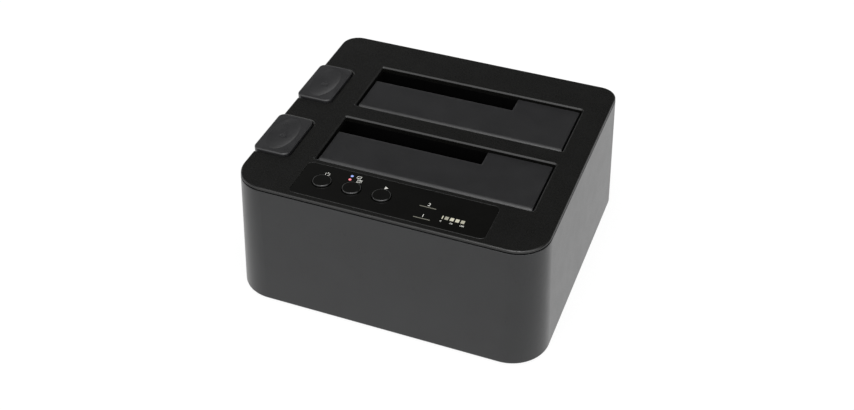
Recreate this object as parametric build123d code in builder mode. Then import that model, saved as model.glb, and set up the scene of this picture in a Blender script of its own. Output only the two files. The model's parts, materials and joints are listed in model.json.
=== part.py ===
from build123d import *
import os

# A two-bay hard drive docking station: a flared plastic body under a flat top cover,
# two wells with sprung doors, two eject buttons that lift the drives off their sockets
# through levers, and a glossy control panel with three push buttons.
# Millimetres. X runs to the right along the front, Y to the rear, Z up.
# The origin is the middle of the footprint, on the surface that the feet stand on.

# Body
body_width = 145.2
body_depth = 133.4
body_height = 64.0
corner_radius = 15.2
rear_corner_radius = 8.6
side_flare = 3.1
wall = 2.2
seam_chamfer = 0.15
bottom_edge_round = 0.5
cut_overrun = 2.0

# Feet and base plate
foot_radius = 5.5
foot_proud = 1.0
foot_recess = 0.6
foot_inset_x = 26.6
foot_inset_y = 10.7
base_thickness = 2.0
base_inset = 0.8
base_gap = 0.3
vent_length = 26.0
vent_width = 2.4
vent_pitch = 5.5
vent_rows = 6
vent_middle_share = 0.2066
vent_middle_y = -6.0
clamp_rib_width = 4.0
clamp_rib_depth = 3.0
clamp_rib_height = 3.4
clamp_rib_from_screw = 8.0
clamp_rib_share_y = 0.21

# Top cover
cover_rim = 1.8
cover_thickness = 2.6
rim_round = 0.85
rim_under_round = 0.2
seam_groove_height = 0.7
seam_groove_depth = 0.9
lip_depth = 3.6
lip_thickness = 1.5
lip_gap = 0.3
opening_round = 0.6
boss_radius = 3.5
boss_inset_x = 10.1
boss_inset_y = 16.7
long_pilot_radius = 1.25
pilot_depth = 14.0

# Drive bays, both alike: what the zones round them leave of the body; their length holds
# a 101.6 mm wide drive and its clearance
left_zone = 28.6
right_zone = 12.4
front_zone = 28.8
middle_zone = 10.4
rear_zone = 22.8
bay_corner = 0.8

# Wells under the bays
well_wall = 1.6
well_floor_z = 20.0
well_floor_thickness = 2.0
ear_reach = 4.0
ear_radius = 2.9
ear_thickness = 2.5
ear_drop = 6.0
ear_from_bay_end = 5.85
small_pilot_radius = 1.0
small_boss_radius = 2.7

# Doors
slot_length = 72.0
slot_width = 10.9
door_drop = 1.2
door_thickness = 2.2
barrel_radius = 3.0
barrel_gap = 0.5
door_end_gap = 1.1
door_rear_gap = 1.0
door_edge_round = 0.4
hinge_pin_radius = 1.1
hinge_fit = 0.05
pin_stand_out = 0.5
stop_lug_width = 4.0
stop_lug_height = 0.7
stop_lug_reach = 0.9
stop_lug_gap = 0.2
stop_slot_side_gap = 0.6
stop_slot_depth = 11.0
stop_lug_inset = 6.0

# Door return springs, wound round the hinge pins inside the doors' front edges
door_spring_radius = 1.6
door_spring_wire = 0.22
door_spring_length = 5.3
door_spring_inset = 12.0
spring_pocket_radius = 2.25
spring_pocket_end_gap = 1.2
fixed_leg_length = 7.0
door_leg_length = 6.5
leg_block_width = 2.4
leg_block_length = 2.0
leg_groove_gap = 0.2

# Eject buttons
button_stand_out = 1.1
button_width = 17.6
button_shorter_than_bay = 6.1
front_button_ahead = 3.7
rear_button_ahead = 3.4
button_gap = 0.6
button_proud = 1.0
button_crown = 2.4
button_skirt = 8.0
button_skirt_wall = 1.6
button_corner = 3.0
button_edge_round = 0.7
finger_dish_depth = 0.9
finger_dish_end_inset = 2.4
finger_dish_side_inset = 2.4
eject_travel = 6.0
dust_skirt_depth = 19.0
dust_skirt_thickness = 1.4
dust_skirt_gap = 1.0
notch_spare = 0.6

# Plungers below the eject buttons, their guides, clips and return springs
plunger_from_left = 11.7
plunger_radius = 2.5
plunger_fit = 0.15
plunger_guide_z = 34.0
plunger_guide_height = 6.0
plunger_guide_radius = 4.6
guide_arm_width = 7.0
clip_radius = 4.4
clip_thickness = 1.0
clip_groove = 0.4
clip_gap = 0.3
clip_opening = 2.6
eject_spring_radius = 3.7
eject_spring_wire = 0.35
eject_spring_turns = 7

# Eject levers
lever_pivot_from_bay = 4.0
lever_pivot_z = 13.0
lever_thickness = 3.0
lever_hub_radius = 3.0
lever_outer_reach = 16.5
lever_inner_reach = 13.0
lever_finger_width = 3.5
lever_finger_below_floor = 0.4
lever_arm_width = 7.0
lever_lift_width = 6.0
lever_tip_gap = 0.2
axle_radius = 1.25
axle_fit = 0.06
axle_ear_thickness = 2.0
axle_ear_side_gap = 0.4
axle_stand_out = 0.4
lever_bracket_reach = 6.0
lever_slot_left = 7.0
lever_slot_right = 0.9
lever_slot_side_gap = 0.6
lever_from_bay_rear = 10.6

# Sockets for the drives
socket_from_bay_rear = 3.9
socket_length = 42.0
socket_width = 6.4
socket_from_bay_left = 5.0
socket_above_floor = 4.0
socket_slot_gap = 0.4
socket_mouth_depth = 6.0
socket_mouth_width = 2.6
signal_mouth_length = 11.2
power_mouth_length = 22.0
socket_mouth_inset = 3.0
socket_key_width = 1.6
socket_key_length = 1.4
contact_pitch = 1.27
contact_width = 0.6
contact_thickness = 0.3
contact_below_mouth = 0.8
signal_contacts = 7
power_contacts = 15

# Main board
board_gap = 4.0
board_thickness = 1.6
board_right_inset = 2.2
board_front_inset = 10.7
board_rear_inset = 2.2
standoff_radius = 3.2
board_screw_inset = 6.0
board_hole_radius = 1.6

# Ports in the rear wall
port_hole_gap = 0.4
port_overhang = 3.6
port_back = 3.0
usb_share = 0.2941
usb_width = 12.4
usb_height = 11.0
usb_length = 16.0
usb_shell = 0.5
usb_tongue_width = 6.6
usb_tongue_height = 3.4
esata_share = 0.5686
esata_width = 15.6
esata_height = 7.0
esata_length = 13.0
esata_shell = 0.8
esata_tongue_width = 11.4
esata_tongue_height = 1.6
inlet_share = 0.8039
inlet_width = 9.4
inlet_height = 10.8
inlet_length = 14.0
inlet_bore_radius = 3.1
inlet_bore_depth = 10.0
inlet_pin_radius = 1.05
inlet_pin_set_back = 1.0

# Parts on the main board
chip_side = 14.0
chip_height = 1.4
chip_share = 0.7059
chip_from_front = 34.0
flash_length = 6.0
flash_width = 5.0
flash_height = 1.5
can_radius = 4.0
can_height = 10.0
can_round = 0.6
can_pitch = 11.0
can_count = 3
can_share = 0.2353
can_from_front = 8.0
coil_side = 7.0
coil_height = 3.6
coil_share = 0.8431
coil_y = 28.0
coil_pitch = 10.0
coil_round = 1.0
crystal_length = 10.0
crystal_width = 4.2
crystal_height = 3.2

# Control panel and what shows in it
panel_left_of_bay = 0.9
panel_right_inset = 13.9
panel_front_inset = 3.1
panel_before_bay = 3.0
panel_corner = 2.5
panel_thickness = 1.2
panel_sunk = 0.1
panel_gap = 0.15
panel_edge_round = 0.15
push_share = 0.1239
push_pitch_share = 0.1568
push_from_front = 11.4
push_radius = 4.25
push_gap = 0.35
push_proud = 0.9
push_flange = 1.0
push_flange_thickness = 0.9
push_flange_gap = 0.15
push_round = 0.5
push_stem_radius = 1.6
push_travel = 0.5
light_radius = 0.65
light_left_of_push = 3.3
blue_light_from_rear = 2.8
red_light_from_rear = 5.4
light_fit = 0.05
bar_share = 0.767
bar_from_front = 7.6
bar_height = 2.0
bar_segment = 1.6
bar_pitch = 2.45
bar_segments = 4
bar_first_segment = 0.4
bay_light_length = 7.6
bay_light_width = 0.35
bay_light_share = 0.6765
bay_light_from_rear = 11.1
bay_light_pitch = 7.9

# Control board under the panel
control_drop = 9.5
control_thickness = 1.2
control_margin = 1.6
control_rear_cut = 1.2
control_boss_inset = 3.6
switch_side = 6.0
switch_height = 3.6
switch_plunger_radius = 1.7
switch_plunger_fit = 0.1
switch_plunger_depth = 1.6
led_length = 1.6
led_width = 0.9
led_height = 0.7
microchip_side = 7.0
microchip_height = 1.0
microchip_share = 0.58

# Ribbon cable between the boards
ribbon_share = 0.6863
ribbon_from_front = 6.0
ribbon_width = 14.0
ribbon_thickness = 0.8
ribbon_bow = 4.0
ribbon_bend = 5.0
ribbon_straight = 5.0
header_length = 17.0
header_width = 4.0
header_height = 5.0

# Screws
screw_fit = 0.15
m3_radius = 1.5
m3_head_radius = 2.7
m3_head_height = 1.4
m3_length = 12.0
m3_head_recess = 0.8
m3_head_gap = 0.3
small_screw_radius = 1.2
small_head_radius = 2.2
small_head_height = 1.4
small_screw_length = 6.0
board_screw_length = 5.0
recess_share = 0.5
recess_depth_share = 0.6

# Heights and places that follow from the sizes above
shell_z = foot_proud
top_z = shell_z + body_height
shell_top_z = top_z - cover_rim
cover_under_z = top_z - cover_thickness
base_z = shell_z + base_inset
base_top_z = base_z + base_thickness
board_z = base_top_z + board_gap
board_top_z = board_z + board_thickness
well_under_z = well_floor_z - well_floor_thickness
body_right = body_width / 2
body_rear = body_depth / 2
bay_left = left_zone - body_right
bay_right = body_right - right_zone
bay_length = bay_right - bay_left
bay_middle = (bay_left + bay_right) / 2
bay_width = (body_depth - front_zone - middle_zone - rear_zone) / 2
bays = {"front": front_zone - body_rear + bay_width, "rear": body_rear - rear_zone}
hinge_z = top_z - door_drop - barrel_radius
door_top_z = top_z - door_drop
door_under_z = door_top_z - door_thickness
door_left = bay_left + door_end_gap
door_right = bay_right - door_end_gap
slot_right = bay_left + slot_length
well_left = bay_left - well_wall
well_right = bay_right + well_wall
ear_top_z = cover_under_z - ear_drop
ear_spread = bay_width / 2 - ear_from_bay_end
ear_xs = [well_left - ear_reach, well_right + ear_reach]
button_top_z = top_z + button_proud
button_under_z = button_top_z - button_crown
button_left = -body_right - button_stand_out
button_right = button_left + button_width
button_middle_x = (button_left + button_right) / 2
button_length = bay_width - button_shorter_than_bay
button_fronts = {
    "front": bays["front"] - bay_width - front_button_ahead,
    "rear": bays["rear"] - bay_width - rear_button_ahead,
}
plunger_x = button_left + plunger_from_left
notch_z = button_top_z - button_skirt - eject_travel - notch_spare
guide_top_z = plunger_guide_z + plunger_guide_height
lever_pivot_x = bay_left - lever_pivot_from_bay
lever_top_z = lever_pivot_z + lever_thickness / 2
plunger_tip_z = lever_top_z + lever_tip_gap
socket_left = bay_left + socket_from_bay_left
board_left = bay_left
board_right = bay_right - board_right_inset
board_front = board_front_inset - body_rear
board_rear = body_rear - board_rear_inset
board_length = board_right - board_left
panel_left = bay_left - panel_left_of_bay
panel_right = bay_right - panel_right_inset
panel_length = panel_right - panel_left
panel_front = panel_front_inset - body_rear
panel_rear = front_zone - body_rear - panel_before_bay
panel_top_z = top_z - panel_sunk
panel_z = panel_top_z - panel_thickness
panel_middle = ((panel_left + panel_right) / 2, (panel_front + panel_rear) / 2)
push_x = panel_left + push_share * panel_length
push_pitch = push_pitch_share * panel_length
push_xs = {"power": push_x, "mode": push_x + push_pitch, "start": push_x + 2 * push_pitch}
push_y = panel_front + push_from_front
light_x = push_xs["mode"] - light_left_of_push
light_ys = {"blue": panel_rear - blue_light_from_rear, "red": panel_rear - red_light_from_rear}
bar_x = panel_left + bar_share * panel_length
bar_y = panel_front + bar_from_front
bay_light_x = panel_left + bay_light_share * panel_length
bay_light_y = panel_rear - bay_light_from_rear
microchip_x = panel_left + microchip_share * panel_length
ribbon_x = board_left + ribbon_share * board_length
ribbon_y = board_front + ribbon_from_front
push_top_z = panel_top_z + push_proud
push_flange_z = cover_under_z - push_flange_gap - push_flange_thickness
control_top_z = top_z - control_drop
control_z = control_top_z - control_thickness
control_rear = panel_rear - control_rear_cut
switch_top_z = control_top_z + switch_height
corners = [(x, y) for x in (-1, 1) for y in (-1, 1)]


def save(piece, name):
    """Labels a finished piece and writes it to its own file."""
    piece.label = name
    export_step(piece, f"parts/{name}.step")


def body_outline(height, inset=0, mode=Mode.ADD):
    """Draws the body's outline at a height, drawn in by the inset; the rear corners are tighter."""
    spread = side_flare * (top_z - height) / body_height - inset
    with BuildSketch(mode=Mode.PRIVATE) as outline:
        Rectangle(body_width + 2 * spread, body_depth + 2 * spread)
        fillet(outline.vertices().group_by(Axis.Y)[0], corner_radius + spread)
        fillet(outline.vertices().group_by(Axis.Y)[-1], rear_corner_radius + spread)
    add(outline.sketch, mode=mode)


def block(low, high, mode=Mode.ADD):
    """Adds or cuts a box between two opposite corners."""
    size = [b - a for a, b in zip(low, high)]
    with Locations(tuple(low)):
        Box(*size, align=(Align.MIN, Align.MIN, Align.MIN), mode=mode)


def post(x, y, bottom, top, radius, mode=Mode.ADD):
    """Adds or cuts an upright cylinder."""
    with Locations((x, y, bottom)):
        Cylinder(radius, top - bottom, align=(Align.CENTER, Align.CENTER, Align.MIN), mode=mode)


def bar_along_x(start, end, y, z, radius, mode=Mode.ADD):
    """Adds or cuts a round bar that runs along X."""
    with BuildSketch(Plane.YZ.offset(start)) as section:
        with Locations((y, z)):
            Circle(radius)
    extrude(section.sketch, amount=end - start, mode=mode)


def bar_along_y(start, end, x, z, radius, mode=Mode.ADD):
    """Adds or cuts a round bar that runs along Y."""
    with BuildSketch(Plane.XZ.offset(-end)) as section:
        with Locations((x, z)):
            Circle(radius)
    extrude(section.sketch, amount=end - start, mode=mode)


def screw(radius, length, head_radius, head_height):
    """Makes a pan-head screw, head down, with its seat at the origin and a square recess."""
    with BuildPart() as made:
        Cylinder(radius, length, align=(Align.CENTER, Align.CENTER, Align.MIN))
        Cylinder(head_radius, head_height, align=(Align.CENTER, Align.CENTER, Align.MAX))
        bottom = made.edges().group_by(Axis.Z)[0]
        fillet(bottom, head_height / 2)
        with BuildSketch(Plane.XY.offset(-head_height)):
            Rectangle(head_radius * recess_share, head_radius * recess_share)
        extrude(amount=head_height * recess_depth_share, mode=Mode.SUBTRACT)
    return made.part


def bevelled_cut(middle, length, width, corner, depth, bevel, align):
    """Cuts a rounded opening down into the cover, with a bevel all round its mouth."""
    with BuildSketch(Plane.XY.offset(top_z)) as opening:
        with Locations(middle):
            RectangleRounded(length, width, corner, align=align)
    extrude(opening.sketch, amount=-depth, mode=Mode.SUBTRACT)
    ends = {Align.CENTER: 0, Align.MIN: -1, Align.MAX: 1}
    outlines = []
    for height, grow in ((-bevel, 0), (bevel, 2 * bevel)):
        with BuildSketch(Plane.XY.offset(top_z + height)) as outline:
            with Locations((middle[0] + ends[align[0]] * grow, middle[1])):
                RectangleRounded(length + 2 * grow, width + 2 * grow, corner + grow, align=align)
        outlines.append(outline.sketch)
    loft(outlines, ruled=True, mode=Mode.SUBTRACT)


def save_screws(name, template, places):
    """Writes copies of one screw at the given seats as one node."""
    copies = [Pos(*place) * template for place in places]
    save(Compound(children=copies), name)


def spring_coil(radius, wire, pitch, turns, plane):
    """Sweeps the wire along a helix that starts on the plane's X axis and climbs its normal."""
    with BuildPart() as made:
        with BuildLine():
            path = Helix(pitch, pitch * turns, radius)
        with BuildSketch(Plane(path @ 0, z_dir=path % 0)) as section:
            Circle(wire)
        sweep(section.sketch, path=path, is_frenet=True)
    return plane.location * made.part


def dish_radius(length):
    """The radius of an arc that is as deep as the finger dish and spans a length."""
    return (length**2 / 4 + finger_dish_depth**2) / (2 * finger_dish_depth)


os.makedirs("parts", exist_ok=True)


# Body shell: four drafted walls, open at the top and bottom, with ribs that the base
# plate is drawn up against, notches for the eject buttons and holes for the ports
clamp_rib_x = -(board_left + board_screw_inset) - clamp_rib_from_screw
clamp_spots = [(x * clamp_rib_x, y * body_rear) for x, y in corners]
clamp_spots_side = [(x * body_right, y * clamp_rib_share_y * body_depth) for x, y in corners]

with BuildPart() as hollow:
    for height in (shell_z - cut_overrun, shell_top_z + cut_overrun):
        with BuildSketch(Plane.XY.offset(height)):
            body_outline(height, wall)
    loft(ruled=True)
    rib_size = 2 * (side_flare + wall + clamp_rib_depth)
    with BuildSketch(Plane.XY.offset(base_top_z)):
        with Locations(*clamp_spots):
            Rectangle(clamp_rib_width, rib_size)
        with Locations(*clamp_spots_side):
            Rectangle(rib_size, clamp_rib_width)
    extrude(amount=clamp_rib_height, mode=Mode.SUBTRACT)

usb_x = board_left + usb_share * board_length
esata_x = board_left + esata_share * board_length
inlet_x = board_left + inlet_share * board_length
ports = {
    "usb": (usb_x, usb_width, usb_height),
    "esata": (esata_x, esata_width, esata_height),
    "inlet": (inlet_x, inlet_width, inlet_height),
}

with BuildPart() as body_shell:
    for height, inset in ((shell_z, 0), (shell_top_z - seam_chamfer, 0), (shell_top_z, seam_chamfer)):
        with BuildSketch(Plane.XY.offset(height)):
            body_outline(height, inset)
    loft(ruled=True)
    fillet(body_shell.edges().group_by(Axis.Z)[0], bottom_edge_round)
    add(hollow.part, mode=Mode.SUBTRACT)
    for front in button_fronts.values():
        block(
            (-body_width, front - button_gap, notch_z),
            (button_right, front + button_length + button_gap, top_z + cut_overrun),
            mode=Mode.SUBTRACT,
        )
    for x, width, height in ports.values():
        block(
            (x - width / 2 - port_hole_gap, body_depth / 2 - wall - cut_overrun, board_top_z - port_hole_gap),
            (x + width / 2 + port_hole_gap, body_depth, board_top_z + height + port_hole_gap),
            mode=Mode.SUBTRACT,
        )
save(body_shell.part, "body_shell")


# Base plate: closes the bottom, carries the feet, the main board and the vents
base_screw_spots = [(x * (body_right - boss_inset_x), y * (body_rear - boss_inset_y)) for x, y in corners]
foot_spots = [(x * (body_right - foot_inset_x), y * (body_rear - foot_inset_y)) for x, y in corners]
board_screw_spots = [
    (board_left + board_screw_inset, board_front + board_screw_inset),
    (board_right - board_screw_inset, board_front + board_screw_inset),
    (board_left + board_screw_inset, board_rear - board_screw_inset),
    (board_right - board_screw_inset, board_rear - board_screw_inset),
]

with BuildPart() as base_plate:
    with BuildSketch(Plane.XY.offset(base_z)):
        body_outline(base_top_z, wall + base_gap)
    extrude(amount=base_thickness)
    with BuildSketch(Plane.XY.offset(base_z)):
        for side in (-1, 1):
            with Locations((side * vent_middle_share * body_width, vent_middle_y)):
                with GridLocations(vent_length, vent_pitch, 1, vent_rows):
                    SlotOverall(vent_length, vent_width)
    extrude(amount=base_thickness, mode=Mode.SUBTRACT)
    for x, y in foot_spots:
        post(x, y, base_z - cut_overrun, base_z + foot_recess, foot_radius, mode=Mode.SUBTRACT)
    for x, y in board_screw_spots:
        post(x, y, base_top_z, board_z, standoff_radius)
        post(x, y, base_top_z, board_z + cut_overrun, small_pilot_radius, mode=Mode.SUBTRACT)
    for x, y in base_screw_spots:
        post(x, y, base_z - cut_overrun, base_top_z, m3_radius + screw_fit, mode=Mode.SUBTRACT)
        post(x, y, base_z - cut_overrun, base_z + m3_head_recess, m3_head_radius + m3_head_gap,
             mode=Mode.SUBTRACT)
save(base_plate.part, "base_plate")

feet = []
for x, y in foot_spots:
    with BuildPart() as foot:
        post(x, y, 0, base_z + foot_recess, foot_radius)
        fillet(foot.edges().group_by(Axis.Z)[0], foot_proud / 2)
    feet.append(foot.part)
save(Compound(children=feet), "rubber_feet")


# Top cover: a flat plate with a rounded rim over a shadow groove, a lip inside the walls,
# four long posts that the base screws pull on, and short bosses for the wells and the
# control board
with BuildPart() as top_cover:
    with BuildSketch(Plane.XY.offset(shell_top_z + seam_groove_height)):
        body_outline(top_z)
    extrude(amount=cover_rim - seam_groove_height)
    fillet(top_cover.edges().group_by(Axis.Z)[-1], rim_round)
    fillet(top_cover.edges().group_by(Axis.Z)[0], rim_under_round)
    with BuildSketch(Plane.XY.offset(shell_top_z)):
        body_outline(top_z, seam_groove_depth)
    extrude(amount=seam_groove_height)
    with BuildSketch(Plane.XY.offset(cover_under_z)):
        body_outline(top_z, wall + lip_gap)
    extrude(amount=cover_thickness - rim_round)
    with BuildSketch(Plane.XY.offset(cover_under_z - lip_depth)):
        body_outline(top_z, wall + lip_gap)
        body_outline(top_z, wall + lip_gap + lip_thickness, mode=Mode.SUBTRACT)
    extrude(amount=lip_depth)
    for x, y in base_screw_spots:
        post(x, y, base_top_z, cover_under_z, boss_radius)
        post(x, y, base_top_z - cut_overrun, base_top_z + pilot_depth, long_pilot_radius, mode=Mode.SUBTRACT)

    # bays, and notches for the eject buttons, which are open at the left side
    centred = (Align.CENTER, Align.CENTER)
    for rear in bays.values():
        bevelled_cut(
            (bay_middle, rear - bay_width / 2), bay_length, bay_width, bay_corner,
            cover_thickness + cut_overrun, opening_round, centred,
        )
    for front in button_fronts.values():
        bevelled_cut(
            (button_right + button_gap, front + button_length / 2), body_width,
            button_length + 2 * button_gap, button_corner,
            cover_thickness + lip_depth + cut_overrun, opening_round, (Align.MAX, Align.CENTER),
        )

    # bosses for the wells' ears
    for rear in bays.values():
        for x in ear_xs:
            for side in (-1, 1):
                y = rear - bay_width / 2 + side * ear_spread
                post(x, y, ear_top_z, cover_under_z, small_boss_radius)
                post(x, y, ear_top_z - cut_overrun, cover_under_z, small_pilot_radius, mode=Mode.SUBTRACT)

    # bosses for the control board
    control_screw_spots = [
        (x, y)
        for x in (panel_left + control_boss_inset, panel_right - control_boss_inset)
        for y in (panel_front + control_boss_inset, control_rear - control_boss_inset)
    ]
    for x, y in control_screw_spots:
        post(x, y, control_top_z, cover_under_z, small_boss_radius)
        post(x, y, control_top_z - cut_overrun, cover_under_z, small_pilot_radius, mode=Mode.SUBTRACT)

    # seat of the control panel, with the holes that go on through the cover
    with BuildSketch(Plane.XY.offset(panel_z)):
        with Locations(panel_middle):
            RectangleRounded(
                panel_right - panel_left + 2 * panel_gap,
                panel_rear - panel_front + 2 * panel_gap,
                panel_corner + panel_gap,
            )
    extrude(amount=panel_thickness + cut_overrun, mode=Mode.SUBTRACT)
    for x in push_xs.values():
        post(x, push_y, cover_under_z - cut_overrun, top_z, push_radius + push_gap, mode=Mode.SUBTRACT)

# Openings for the lights, the same in the panel and in the cover below it
bar_spots = [(bar_x, bar_first_segment)]
for number in range(bar_segments):
    bar_spots.append((bar_x + (number + 1) * bar_pitch - (bar_segment - bar_first_segment) / 2, bar_segment))
bay_light_ys = [bay_light_y, bay_light_y - bay_light_pitch]


def light_blocks(bottom, top, grow=0, mode=Mode.ADD):
    """Adds or cuts the five bar segments, from one height to another."""
    for x, length in bar_spots:
        block(
            (x - length / 2 - grow, bar_y - bar_height / 2 - grow, bottom),
            (x + length / 2 + grow, bar_y + bar_height / 2 + grow, top),
            mode=mode,
        )


def bay_light_blocks(bottom, top, grow=0, mode=Mode.ADD):
    """Adds or cuts the two bay lights, from one height to another."""
    for y in bay_light_ys:
        block(
            (bay_light_x - bay_light_length / 2 - grow, y - bay_light_width / 2 - grow, bottom),
            (bay_light_x + bay_light_length / 2 + grow, y + bay_light_width / 2 + grow, top),
            mode=mode,
        )


with BuildPart() as pierced_cover:
    add(top_cover.part)
    low = cover_under_z - cut_overrun
    light_blocks(low, top_z, light_fit, mode=Mode.SUBTRACT)
    bay_light_blocks(low, top_z, light_fit, mode=Mode.SUBTRACT)
    for y in light_ys.values():
        post(light_x, y, low, top_z, light_radius + light_fit, mode=Mode.SUBTRACT)
save(pierced_cover.part, "top_cover")


# Control panel: a glossy plate let into the cover
with BuildPart() as control_panel:
    with BuildSketch(Plane.XY.offset(panel_z)):
        with Locations(panel_middle):
            RectangleRounded(panel_right - panel_left, panel_rear - panel_front, panel_corner)
    extrude(amount=panel_thickness)
    fillet(control_panel.edges().group_by(Axis.Z)[-1], panel_edge_round)
    for x in push_xs.values():
        post(x, push_y, panel_z, top_z, push_radius + push_gap, mode=Mode.SUBTRACT)
    light_blocks(panel_z, top_z, light_fit, mode=Mode.SUBTRACT)
    bay_light_blocks(panel_z, top_z, light_fit, mode=Mode.SUBTRACT)
    for y in light_ys.values():
        post(light_x, y, panel_z, top_z, light_radius + light_fit, mode=Mode.SUBTRACT)
save(control_panel.part, "control_panel")


# Lights: clear rods and blocks that carry the light from the control board to the panel
for name, y in light_ys.items():
    with BuildPart() as rod:
        post(light_x, y, control_top_z + led_height, panel_top_z, light_radius)
    save(rod.part, f"{name}_light_rod")

with BuildPart() as progress_bar_lights:
    light_blocks(control_top_z + led_height, panel_top_z)
save(progress_bar_lights.part, "progress_bar_lights")

with BuildPart() as bay_lights:
    bay_light_blocks(control_top_z + led_height, panel_top_z)
save(bay_lights.part, "bay_lights")


# Push buttons: a round cap with a flange below the cover and a stem on the switch
for name, x in push_xs.items():
    with BuildPart() as cap:
        post(x, push_y, push_flange_z, push_top_z, push_radius)
        fillet(cap.edges().group_by(Axis.Z)[-1], push_round)
        flange_top = push_flange_z + push_flange_thickness
        post(x, push_y, push_flange_z, flange_top, push_radius + push_flange)
        post(x, push_y, switch_top_z + push_travel, push_flange_z, push_stem_radius)
    save(cap.part, f"{name}_button")

    with BuildPart() as plunger:
        post(x, push_y, switch_top_z - switch_plunger_depth + push_travel, switch_top_z + push_travel,
             switch_plunger_radius)
    save(plunger.part, f"{name}_switch_plunger")

switches = []
for x in push_xs.values():
    with BuildPart() as switch:
        half = switch_side / 2
        block((x - half, push_y - half, control_top_z), (x + half, push_y + half, switch_top_z))
        post(
            x,
            push_y,
            switch_top_z - switch_plunger_depth - push_travel / 2,
            switch_top_z + cut_overrun,
            switch_plunger_radius + switch_plunger_fit,
            mode=Mode.SUBTRACT,
        )
    switches.append(switch.part)
save(Compound(children=switches), "button_switches")


# Control board: carries the switches and the light sources
with BuildPart() as control_board:
    block(
        (panel_left + control_margin, panel_front + control_margin, control_z),
        (panel_right - control_margin, control_rear, control_top_z),
    )
    for x, y in control_screw_spots:
        post(x, y, control_z, control_top_z, board_hole_radius, mode=Mode.SUBTRACT)
save(control_board.part, "control_board")

with BuildPart() as light_sources:
    led_spots = [(light_x, y) for y in light_ys.values()]
    led_spots += [(x, bar_y) for x, length in bar_spots]
    led_spots += [(bay_light_x, y) for y in bay_light_ys]
    for x, y in led_spots:
        block(
            (x - led_width / 2, y - led_length / 2, control_top_z),
            (x + led_width / 2, y + led_length / 2, control_top_z + led_height),
        )
save(light_sources.part, "light_sources")

with BuildPart() as panel_controller:
    half = microchip_side / 2
    block(
        (microchip_x - half, push_y - half, control_z - microchip_height),
        (microchip_x + half, push_y + half, control_z),
    )
save(panel_controller.part, "panel_controller")


# Wells, doors and eject gear, the same for both bays
lever_finger_top_z = well_floor_z - lever_finger_below_floor
finger_right = lever_pivot_x + lever_inner_reach
finger_left = finger_right - lever_finger_width
hinge_y_in = barrel_gap + barrel_radius
lug_xs = [slot_right + stop_lug_inset, door_right - stop_lug_inset]
spring_left = door_left + door_spring_inset
spring_right = spring_left + door_spring_length
pocket_left = spring_left - spring_pocket_end_gap
pocket_right = spring_right + spring_pocket_end_gap
leg_block_y = hinge_y_in - door_spring_radius - door_spring_wire
clip_z = plunger_guide_z - clip_gap - clip_thickness
dust_skirt_x = wall + dust_skirt_gap - body_right
socket_top_z = well_floor_z + socket_above_floor

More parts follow.
